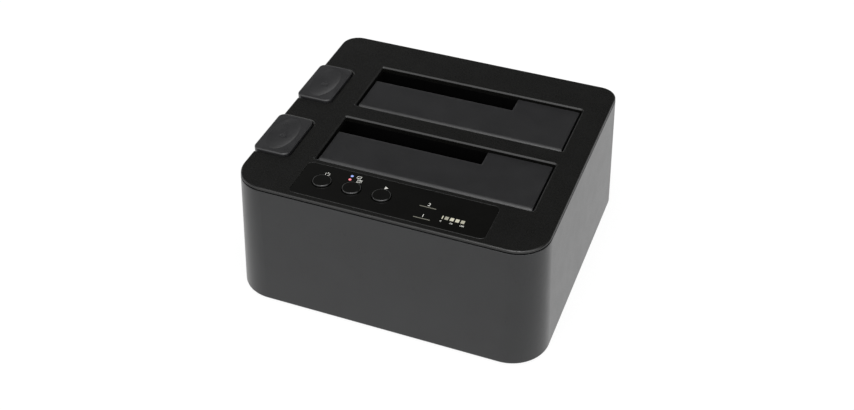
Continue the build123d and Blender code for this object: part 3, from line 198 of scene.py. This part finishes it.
# %% [markdown]
# ## One finish for each material slot
# The outside is charcoal and black ABS with a fine spark texture. The control panel and its
# three round buttons are polished black acrylic, with hardly any grain and a clear coat. The
# rest is what such boxes hold: acetal levers, steel pins and springs, a green board.
finishes = {
    # charcoal ABS, spark-eroded tool: even, dull, paler towards grazing angles
    "body_plastic": finish("Charcoal ABS", "151516", "191a1b", 0.31, 0.35, 0.02, specular=0.45,
                           wear_and_sheen_colour="4a4a4a", edge_mm=0.35, wear_and_sheen_share=0.3, rough_drift=0.015),
    # black ABS of the top cover, darker and duller
    "cover_plastic": finish("Black ABS cover", "0a0a09", "0d0d0c", 0.28, 0.3, 0.01,
                            specular=0.45, wear_and_sheen_colour="3a3a39", edge_mm=0.3, wear_and_sheen_share=0.5,
                            rough_drift=0.01),
    # satin black ABS of the doors: a wide pale edge colour paints a soft highlight band on the rolled
    # front edge, besides scuffing
    "door_plastic": finish("Satin ABS doors", "151516", "1a1a1b", 0.36, 0.4, 0.015, specular=0.5,
                           wear_and_sheen_colour="454544", edge_mm=1.2, wear_and_sheen_share=0.35, rough_drift=0.015),
    # charcoal ABS of the eject buttons, polished a little by fingers
    "button_plastic": finish("Eject button ABS", "1f1f20", "252526", 0.33, 0.35, 0.015,
                             specular=0.47, wear_and_sheen_colour="4b4b4c", edge_mm=0.3, wear_and_sheen_share=0.4),
    # polished black acrylic: almost no grain, sharp reflections
    "panel_gloss": finish("Gloss black acrylic", "070706", "0a0a09", 0.08, 2.5, 0.002,
                          specular=0.43, rough_drift=0.03, edge_mm=0.12, wear_and_sheen_colour="1a1a19",
                          wear_and_sheen_share=0.25, coat=0.25),
    # black ABS inside the bays, painted almost black with hardly any sheen: painted shade, so the
    # wells read as dark voids
    "inner_plastic": finish("Black ABS inside painted shade", "030303", "060606", 0.5, 0.5, 0.03, specular=0.05),
    # natural acetal: cream, waxy, slightly paler where it rubs
    "lever_plastic": finish("Natural acetal", "dcdcd2", "cfcfc2", 0.35, 0.6, 0.02, wear_and_sheen_colour="efefe8"),
    # hard-drawn wire: bright, with fine lines along the wire
    "spring_steel": finish("Spring steel wire", "b0b0b2", "8f8f93", 0.28, 0.2, 0.01, metallic=1.0,
                           stretch=(0.2, 1, 1)),
    # turned and zinc-plated steel: pale grey, softly clouded
    "pin_steel": finish("Zinc-plated steel", "bcbec2", "9c9ea4", 0.33, 0.4, 0.01, metallic=1.0),
    # moulded rubber: dull, with a grey bloom of dust
    "foot_rubber": finish("Black rubber", "171716", "21211f", 0.8, 0.6, 0.08, specular=0.3),
    # glass laminate under green mask: the weave shows faintly
    "board_laminate": finish("Green solder mask", "0f4a28", "0c3c20", 0.3, 1.6, 0.03, wear_and_sheen_colour="7d7350"),
    # epoxy moulded round a chip: dull black, sand-like
    "chip_epoxy": finish("Moulded epoxy", "1c1c1c", "262626", 0.6, 0.25, 0.03, specular=0.4),
    # drawn and tinned can: silvery, streaked along its length
    "crystal_can": finish("Tinned steel", "c4c4c6", "a7a7ab", 0.25, 0.5, 0.01, metallic=1.0,
                          stretch=(1, 0.15, 1)),
    # drawn aluminium: bright, with fine rings round the can
    "capacitor_aluminium": finish("Drawn aluminium", "d2d3d6", "b8b9be", 0.3, 0.4, 0.01,
                                  metallic=1.0, stretch=(1, 1, 0.1)),
    # pressed and fired powder: dark grey, chalky
    "ferrite": finish("Pressed ferrite", "34353a", "42434a", 0.65, 0.3, 0.05, specular=0.4),
    # stamped brass under a thin gold flash: yellow, sharp highlights
    "contact_brass": finish("Gold-flashed brass", "d9b456", "c39a3c", 0.25, 0.3, 0.005, metallic=1.0),
    # moulded nylon in the blue of fast sockets
    "tongue_blue": finish("Blue nylon", "1b4fb0", "16449a", 0.4, 0.4, 0.02),
    # black acetal: waxy, greyer than the case
    "plunger_plastic": finish("Black acetal", "232323", "2d2d2d", 0.4, 0.4, 0.02),
    # white ceramic base of a light, slightly yellow
    "led_ceramic": finish("White ceramic", "e6e4d6", "d6d2be", 0.5, 0.3, 0.02),
    # extruded ribbon: ridges every 1.27 mm, one for each wire
    "ribbon_grey": finish("Grey PVC ribbon", "a6a6a4", "8c8c8a", 0.5, 1.27, 0.1,
                          stretch=(1, 0.05, 0.05)),
    # moulded nylon: off-white, dull
    "header_white": finish("White nylon", "ece9dc", "dcd8c6", 0.5, 0.5, 0.03),
    # warm white blocks: first segment bright and thin, second dim, then bright, last less bright
    "light_white": lit("Warm white light", "d2cfbb", "c6c3ad", 1.0, along=[
        (10.0, 0.25), (24.0, 1.0), (25.6, 0.55), (28.1, 1.0),
        (30.5, 0.92), (33.0, 0.66), (36.0, 0.66)]),
    # pale blue and pale red rods, washed out in daylight
    "light_blue": lit("Blue light", "6e82be", "8397d2", 1.6),
    "light_red": lit("Red light", "d75f69", "ea8088", 1.6),
}
slot_of = {row["node"]: row["material_slot"] for row in frame["record"]["subparts"]}


def dress(piece, slot):
    """Gives a piece the finish of one slot."""
    piece.data.materials.clear()
    piece.data.materials.append(finishes[slot])


for name, piece in nodes.items():
    dress(piece, slot_of[name])
print("finishes:", len(finishes), "on", len(nodes), "pieces")

# %% [markdown]
# ## Printed symbols on the panel
# The symbols are silk-screened in pale ink. Ink stands a few hundredths of a millimetre
# proud, so each symbol is a thin flat solid made from a simple shape: a ring for the power
# sign, frames for the screen and the two sheets, a triangle for start, and plain digits.
panel_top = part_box("control_panel")[1].z
ink = finish("Pale screen ink", "c9c9c4", "b9b9b3", 0.55, 0.15, 0.004, edge_mm=0.02)
INK = 0.02 * MM
printed = []


def fresh():
    """Leaves edit mode and clears the selection."""
    if bpy.context.object and bpy.context.object.mode != "OBJECT":
        bpy.ops.object.mode_set(mode="OBJECT")
    bpy.ops.object.select_all(action="DESELECT")


def settle(piece, name, material, body, smooth=False):
    """Puts a finished piece's place into its vertices, names it, dresses it and sets its body."""
    fresh()
    piece.select_set(True)
    bpy.context.view_layer.objects.active = piece
    bpy.ops.object.transform_apply(location=True, rotation=True, scale=True)
    if smooth:
        bpy.ops.object.shade_smooth_by_angle(angle=math.radians(40))
    piece.name = name
    piece.data.name = name
    piece.data.materials.clear()
    piece.data.materials.append(material)
    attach(piece, body)
    return piece


def bar(x, y, length, width, turn=0.0):
    """Adds a flat bar of ink; x and y in millimetres, turn in degrees."""
    fresh()
    bpy.ops.mesh.primitive_cube_add(size=1.0, location=(x * MM, y * MM, panel_top + INK / 2))
    piece = bpy.context.object
    piece.scale = (length * MM, width * MM, INK)
    piece.rotation_euler.z = math.radians(turn)
    bpy.ops.object.transform_apply(location=True, rotation=True, scale=True)
    return piece


def joined(pieces, name, material=None, body="housing"):
    """Joins the parts of one symbol."""
    fresh()
    for piece in pieces:
        piece.select_set(True)
    bpy.context.view_layer.objects.active = pieces[0]
    bpy.ops.object.join()
    return settle(pieces[0], name, material or ink, body)


def outline(x, y, length, width, line):
    """Four bars round a rectangle."""
    half_x, half_y = (length - line) / 2, (width - line) / 2
    sides = [bar(x, y + s * half_y, length, line) for s in (-1, 1)]
    return sides + [bar(x + s * half_x, y, line, width - 2 * line) for s in (-1, 1)]


def choose(piece, test):
    """Selects the vertices whose place passes the test, and stays in edit mode."""
    bpy.ops.object.mode_set(mode="EDIT")
    bpy.ops.mesh.select_mode(type="VERT")
    bpy.ops.mesh.select_all(action="DESELECT")
    bpy.ops.object.mode_set(mode="OBJECT")
    for vertex in piece.data.vertices:
        vertex.select = test(vertex.co)
    bpy.ops.object.mode_set(mode="EDIT")


def ring(x, y, radius, line, gap_deg):
    """A flat ring with a gap at its rear side."""
    fresh()
    bpy.ops.mesh.primitive_torus_add(
        major_segments=72, minor_segments=4, major_radius=radius * MM, minor_radius=line * MM / 2,
        location=(0, 0, 0),
    )
    piece = bpy.context.object
    choose(piece, lambda co: abs(math.degrees(math.atan2(co.x, co.y))) < gap_deg / 2)
    bpy.ops.mesh.delete(type="VERT")
    bpy.ops.mesh.select_non_manifold()
    bpy.ops.mesh.edge_face_add()
    bpy.ops.mesh.select_all(action="SELECT")
    bpy.ops.mesh.normals_make_consistent(inside=False)
    bpy.ops.object.mode_set(mode="OBJECT")
    piece.location = (x * MM, y * MM, panel_top + INK / 2)
    piece.scale.z = INK / (line * MM)
    bpy.ops.object.transform_apply(location=True, rotation=True, scale=True)
    return piece


def wedge(x, y, radius, height, z, turn):
    """A three-sided prism, one corner turned to the given side in degrees."""
    fresh()
    bpy.ops.mesh.primitive_cylinder_add(
        vertices=3, radius=radius * MM, depth=height, location=(x * MM, y * MM, z)
    )
    piece = bpy.context.object
    piece.rotation_euler.z = math.radians(turn)
    bpy.ops.object.transform_apply(location=True, rotation=True, scale=True)
    return piece


def digits(text, x, y, height_mm, name):
    """Plain digits as flat ink, centred on x and y."""
    fresh()
    bpy.ops.object.text_add(location=(0, 0, 0))
    piece = bpy.context.object
    piece.data.body = text
    piece.data.align_x = "CENTER"
    piece.data.align_y = "CENTER"
    piece.data.size = height_mm * MM / 0.7
    piece.data.extrude = INK / 2
    piece.data.resolution_u = 4
    bpy.ops.object.convert(target="MESH")
    piece = bpy.context.object
    piece.location = (x * MM, y * MM, panel_top + INK / 2)
    return settle(piece, name, ink, "housing")


power = [ring(-33.5, -46.4, 1.0, 0.26, 70), bar(-33.5, -45.6, 0.26, 1.2)]
printed.append(joined(power, "power_symbol"))
screen = outline(-19.2, -43.6, 2.1, 1.5, 0.22)
screen += [bar(-19.2, -44.62, 0.9, 0.24), bar(-19.2, -44.42, 0.3, 0.2)]
printed.append(joined(screen, "screen_symbol"))
sheets = outline(-18.4, -46.2, 1.5, 1.9, 0.22)
sheets += [bar(-17.75, -45.15, 1.5, 0.22), bar(-17.1, -46.0, 0.22, 1.7), bar(-18.4, -46.0, 0.7, 0.2)]
printed.append(joined(sheets, "two_sheets_symbol"))
start = wedge(-5.2, -46.2, 1.1, INK, panel_top + INK / 2, -90)
printed.append(joined([start], "start_symbol"))
for text, x, y, height, name in (
    ("2", 16.8, -50.2, 2.0, "digit_two"), ("1", 16.8, -58.1, 2.0, "digit_one"),
    ("0", 25.1, -58.7, 1.0, "scale_low"), ("50", 29.8, -58.7, 1.0, "scale_middle"),
    ("100", 34.6, -58.7, 1.0, "scale_high"),
):
    printed.append(digits(text, x, y, height, name))
print("printed symbols:", len(printed), "thickness in mm:", INK / MM)

# %% [markdown]
# ## Raised marks on the eject buttons
# Each cap has a shallow dish for the finger, with a raised eject mark in the same plastic at
# its bottom: a triangle over a bar, 0.25 mm proud, readable by touch more than by eye.
DISH_DEPTH = 0.9
for side in ("front", "rear"):
    low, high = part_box(f"{side}_eject_button")
    middle_x, middle_y = (low.x + high.x) / 2 / MM, (low.y + high.y) / 2 / MM
    dish = high.z - DISH_DEPTH * MM
    raised = 0.5 * MM
    triangle = wedge(middle_x, middle_y + 0.5, 1.9, raised, dish, 0)
    foot = bar(middle_x, middle_y - 1.2, 3.2, 0.8)
    foot.location.z += dish - panel_top - INK / 2
    foot.scale.z = raised / INK
    foot.location.z -= (foot.scale.z - 1) * (panel_top + INK / 2)
    joined([triangle, foot], f"{side}_eject_mark", finishes["button_plastic"], f"{side}_eject")
    print(side, "eject mark at", round(middle_x, 2), round(middle_y, 2))

# %% [markdown]
# ## Springs that move
# A wire spring is a small circle carried round a screw path, so it is made just so: a circle
# stood on edge, a screw of one pitch repeated for each turn, and flat ends. The door springs
# keep their turns on the pin while one leg swings with the door, so that leg is a piece of its own.


def coil(name, radius, wire, pitch, turns, finish_name):
    """Winds a spring up the Z axis from the origin, in millimetres."""
    fresh()
    bpy.ops.mesh.primitive_circle_add(
        vertices=10, radius=wire * MM, fill_type="NGON", location=(0, 0, 0)
    )
    piece = bpy.context.object
    piece.rotation_euler.x = math.radians(90)
    piece.location.x = radius * MM
    bpy.ops.object.transform_apply(location=True, rotation=True, scale=True)
    screw = piece.modifiers.new("turns", "SCREW")
    screw.screw_offset = pitch * MM
    screw.iterations = turns
    screw.steps = screw.render_steps = 24
    screw.use_merge_vertices = False
    bpy.ops.object.modifier_apply(modifier="turns")
    bpy.ops.object.mode_set(mode="EDIT")
    bpy.ops.mesh.select_all(action="SELECT")
    bpy.ops.mesh.remove_doubles(threshold=1e-6)
    bpy.ops.mesh.select_all(action="DESELECT")
    bpy.ops.mesh.select_non_manifold()
    bpy.ops.mesh.edge_face_add()
    bpy.ops.mesh.select_all(action="SELECT")
    bpy.ops.mesh.normals_make_consistent(inside=False)
    bpy.ops.object.mode_set(mode="OBJECT")
    piece.data.materials.append(finishes[finish_name])
    piece.name = name
    return piece


def rod(start, end, wire):
    """A straight piece of wire between two points in metres."""
    fresh()
    way = end - start
    bpy.ops.mesh.primitive_cylinder_add(
        vertices=10, radius=wire * MM, depth=way.length, location=(start + end) / 2
    )
    piece = bpy.context.object
    piece.rotation_euler = way.to_track_quat("Z", "Y").to_euler()
    bpy.ops.object.transform_apply(location=True, rotation=True, scale=True)
    return piece


COIL_RADIUS = 1.6
for side in ("front", "rear"):
    low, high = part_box(f"{side}_eject_spring")
    middle = (low + high) / 2
    wire = 0.35
    tall = (high.z - low.z) / MM
    length = tall - 2 * wire
    spring = coil(f"{side}_eject_coil", 3.7, wire, length / 7, 7, "spring_steel")
    spring.location = (middle.x, middle.y, low.z + wire * MM)
    settle(spring, f"{side}_eject_coil", finishes["spring_steel"], "housing", smooth=True)
    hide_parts(f"{side}_eject_spring")
    foot = (middle.x, middle.y, low.z)
    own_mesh(spring)

    low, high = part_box(f"{side}_door_spring")
    pin_low, pin_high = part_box(f"{side}_door_pin")
    hinge = (pin_low + pin_high) / 2
    wire = 0.22
    length = (high.x - low.x) / MM - 2 * wire
    spring = coil(f"{side}_door_coil", COIL_RADIUS, wire, length / 10, 10, "spring_steel")
    spring.rotation_euler.y = math.radians(90)
    spring.location = (low.x + wire * MM, hinge.y, hinge.z)
    bpy.ops.object.transform_apply(location=True, rotation=True, scale=True)
    right = low.x + (wire + length) * MM
    ahead = hinge.y - COIL_RADIUS * MM
    fixed = rod(Vector((right, ahead, low.z)), Vector((right, ahead, hinge.z)), wire)
    joined([spring, fixed], f"{side}_door_coil", finishes["spring_steel"])
    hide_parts(f"{side}_door_spring")
    left = low.x + wire * MM
    above = hinge.z + COIL_RADIUS * MM
    moving = rod(Vector((left, hinge.y, above)), Vector((left, high.y, above)), wire)
    settle(moving, f"{side}_door_spring_leg", finishes["spring_steel"], f"{side}_door", smooth=True)
    print(side, "springs wound")

# %% [markdown]
# ## Table, lamps and camera
# The object was shown cut out on white, so the table is a pale plane that reads as white to
# the camera and still takes the object's shadow. The surroundings are a soft studio: bright
# near the horizon and overhead, darker between, which is what the flat top mirrors.
fresh()
bpy.ops.mesh.primitive_plane_add(size=8.0, location=(0, 0, -0.02 * MM))
floor = bpy.context.object
floor.name = "floor"
paper, tree = new_tree("White paper")
place = add(tree, "TexCoord").outputs["Object"]
path = add(tree, "LightPath")
seen = path.outputs["Is Camera Ray"]
mirrored = path.outputs["Is Glossy Ray"]
through = path.outputs["Is Transmission Ray"]
seen = add(tree, "Math", {0: seen, 1: mirrored}, operation="ADD").outputs[0]
seen = add(tree, "Math", {0: seen, 1: through}, operation="ADD", use_clamp=True).outputs[0]
share = add(tree, "Math", {0: seen, 1: 0.88}, operation="MULTIPLY").outputs[0]
fibres = mix_colour(tree, spread(tree, noise(tree, place, 3.0, 4.0), 0.0, 1.0), "f4f4f4", "fafafa")
matt = add(tree, "BsdfDiffuse", {"Color": fibres})
white = add(tree, "Emission", {"Color": (1, 1, 1, 1), "Strength": 1.0})
both = add(tree, "MixShader", {0: share, 1: matt.outputs[0], 2: white.outputs[0]})
# from below, the table is clear, so that the underside can be looked at
below = add(tree, "NewGeometry").outputs["Backfacing"]
clear = add(tree, "BsdfTransparent")
sheet = add(tree, "MixShader", {0: below, 1: both.outputs[0], 2: clear.outputs[0]})
add(tree, "OutputMaterial", {"Surface": sheet.outputs[0]})
floor.data.materials.append(paper)

world = bpy.data.worlds.new("Soft studio")
scene.world = world
world.use_nodes = True
tree = world.node_tree
tree.nodes.clear()
direction = add(tree, "TexCoord").outputs["Generated"]
height = add(tree, "SeparateXYZ", {"Vector": direction}).outputs["Z"]
ramp = add(tree, "ValToRGB", {"Fac": height})
stops = ((0.0, 0.95), (0.2, 0.85), (0.36, 0.06), (0.81, 0.04), (0.92, 1.8), (1.0, 2.2))
while len(ramp.color_ramp.elements) < len(stops):
    ramp.color_ramp.elements.new(0.5)
for element, (position, value) in zip(ramp.color_ramp.elements, stops):
    element.position = position
    element.color = (value, value, value, 1.0)
# a broad soft window high on the front side, which the rounded front edges mirror as thin lines
ahead = add(tree, "VectorMath", {0: direction, 1: (0.35, -0.94, 0.0)}, operation="DOT_PRODUCT")
sideways = spread(tree, ahead.outputs["Value"], 0.0, 1.0, 0.05, 0.3)
upwards = spread(tree, height, 0.0, 1.0, 0.3, 0.5)
window = add(tree, "Math", {0: sideways, 1: upwards}, operation="MULTIPLY")
pane = add(tree, "Math", {0: window.outputs[0], 1: 2.4}, operation="MULTIPLY").outputs[0]
level = add(tree, "Math", {0: ramp.outputs["Color"], 1: pane}, operation="MAXIMUM").outputs[0]
# a paler wall on the left, which lifts the left ends of the flat faces
aside = add(tree, "VectorMath", {0: direction, 1: (-1.0, 0.0, 0.0)}, operation="DOT_PRODUCT")
wall = spread(tree, aside.outputs["Value"], 0.0, 0.1, 0.25, 0.6)
level = add(tree, "Math", {0: level, 1: wall}, operation="ADD").outputs[0]
sky = add(tree, "Background", {"Color": level, "Strength": 0.9})
add(tree, "OutputWorld", {"Surface": sky.outputs[0]})


def lamp(name, size, power, place, aim):
    """Adds a soft square lamp that looks at a point."""
    fresh()
    bpy.ops.object.light_add(type="AREA", location=place)
    light = bpy.context.object
    light.name = name
    light.data.shape = "SQUARE"
    light.data.size = size
    light.data.energy = power
    from_to = Vector(aim) - light.location
    light.rotation_euler = from_to.to_track_quat("-Z", "Y").to_euler()


lamp("overhead_softbox", 0.5, 5.0, (0.1, -0.3, 1.3), (0.0, 0.0, 0.03))
lamp("right_softbox", 0.7, 2.0, (1.1, -0.5, 0.7), (0.0, 0.0, 0.03))
lamp("left_softbox", 0.7, 2.0, (-1.1, -0.4, 0.6), (0.0, 0.0, 0.03))

fresh()
bpy.ops.object.camera_add(location=(0.156749, -0.424031, 0.392413))
camera = bpy.context.object
camera.name = "camera"
turn = Matrix.Rotation(math.radians(20.675), 4, "Z")
turn = turn @ Matrix.Rotation(math.radians(50.624), 4, "X")
turn = turn @ Matrix.Rotation(math.radians(0.306), 4, "Z")
camera.rotation_euler = turn.to_euler()
camera.data.sensor_fit = "HORIZONTAL"
camera.data.sensor_width = 36.0
camera.data.lens = 50.078
camera.data.clip_start = 0.01
camera.data.clip_end = 50.0
scene.camera = camera
scene.view_settings.view_transform = "Standard"
